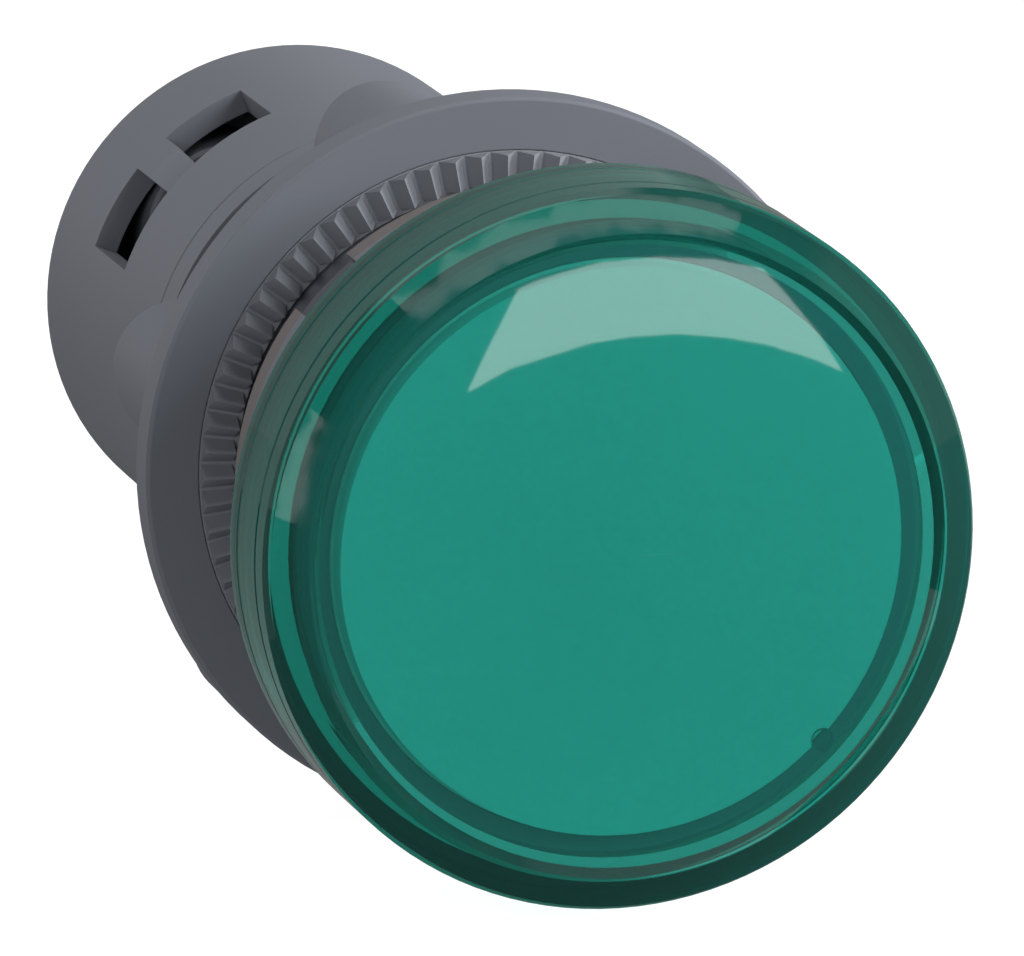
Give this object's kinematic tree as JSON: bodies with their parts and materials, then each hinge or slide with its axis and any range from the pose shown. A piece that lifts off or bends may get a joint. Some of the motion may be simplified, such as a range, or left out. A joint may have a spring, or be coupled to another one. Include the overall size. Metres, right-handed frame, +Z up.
{
  "type": "panel pilot light",
  "caption": "Round panel-mount pilot light with a green lens, a gripping nut that clamps it in a 22 mm cut-out, and screw terminals in the rear for switchgear signals.",
  "frame": {"origin": "centre of the panel seat, on the lamp's axis at the rear face of the gasket", "axes": "-Y is the way that the lens faces, +Y runs along the barrel to the rear, and +Z is up on an upright panel"},
  "size_m": [0.0296, 0.0534, 0.0296],
  "materials": {
    "green_lens": "clear dark green moulding, polished",
    "green_diffuser": "frosted green",
    "grey_plastic": "dark grey, fine satin",
    "nut_plastic": "dark grey, satin",
    "white_plastic": "white, smooth",
    "gasket_rubber": "dull",
    "board_laminate": "green laminate",
    "led_package": "pale resin",
    "tinned_metal": "tinned",
    "film_case": "moulded box",
    "can_sleeve": "shrunk sleeve",
    "black_resin": "moulded",
    "resistor_body": "lacquered",
    "varistor_body": "dipped",
    "terminal_brass": "bright",
    "plated_steel": "zinc plated"
  },
  "bodies": {
    "housing": {"lens": "green_lens", "diffuser": "green_diffuser", "front_housing": "grey_plastic", "lens_seal": "gasket_rubber", "panel_gasket": "gasket_rubber", "rear_housing": "grey_plastic", "rear_cover": "grey_plastic", "reflector": "white_plastic", "led_board": "board_laminate", "led_chips": "led_package", "power_board": "board_laminate", "board_pins": "tinned_metal", "film_capacitor": "film_case", "smoothing_capacitor": "can_sleeve", "rectifier": "black_resin", "resistors": "resistor_body", "varistor": "varistor_body", "terminal_plate_x1": "terminal_brass", "terminal_plate_x2": "terminal_brass"},
    "lock_ring": {"tooth_ring": "nut_plastic"},
    "nut": {"fixing_nut": "nut_plastic"},
    "clamp_x1": {"wire_clamp_x1": "plated_steel"},
    "screw_x1": {"terminal_screw_x1": "plated_steel"},
    "clamp_x2": {"wire_clamp_x2": "plated_steel"},
    "screw_x2": {"terminal_screw_x2": "plated_steel"}
  },
  "joints": [
    {"name": "ring_travel", "type": "slide", "parent": "housing", "child": "lock_ring", "axis": [0, 1, 0], "range_m": [-0.0024, 0.008]},
    {"name": "nut_turn", "type": "hinge", "parent": "lock_ring", "child": "nut", "pos_m": [0, 0.00328, 0], "axis": [0, 1, 0], "range_deg": [-576, 1920]},
    {"name": "clamp_travel_x1", "type": "slide", "parent": "housing", "child": "clamp_x1", "axis": [0, 1, 0], "range_m": [0, 0.0026]},
    {"name": "screw_turn_x1", "type": "hinge", "parent": "clamp_x1", "child": "screw_x1", "pos_m": [-0.00403, 0.02864, 0.00403], "axis": [0, 1, 0], "range_deg": [0, 1561]},
    {"name": "clamp_travel_x2", "type": "slide", "parent": "housing", "child": "clamp_x2", "axis": [0, 1, 0], "range_m": [0, 0.0026]},
    {"name": "screw_turn_x2", "type": "hinge", "parent": "clamp_x2", "child": "screw_x2", "pos_m": [0.00403, 0.02864, -0.00403], "axis": [0, 1, 0], "range_deg": [0, 1561]}
  ],
  "couplings": [
    {"joint": "ring_travel", "follows": "nut_turn", "m_per_rad": 0.00023873},
    {"joint": "screw_turn_x1", "follows": "clamp_travel_x1", "rad_per_m": 10472},
    {"joint": "screw_turn_x2", "follows": "clamp_travel_x2", "rad_per_m": 10472}
  ]
}
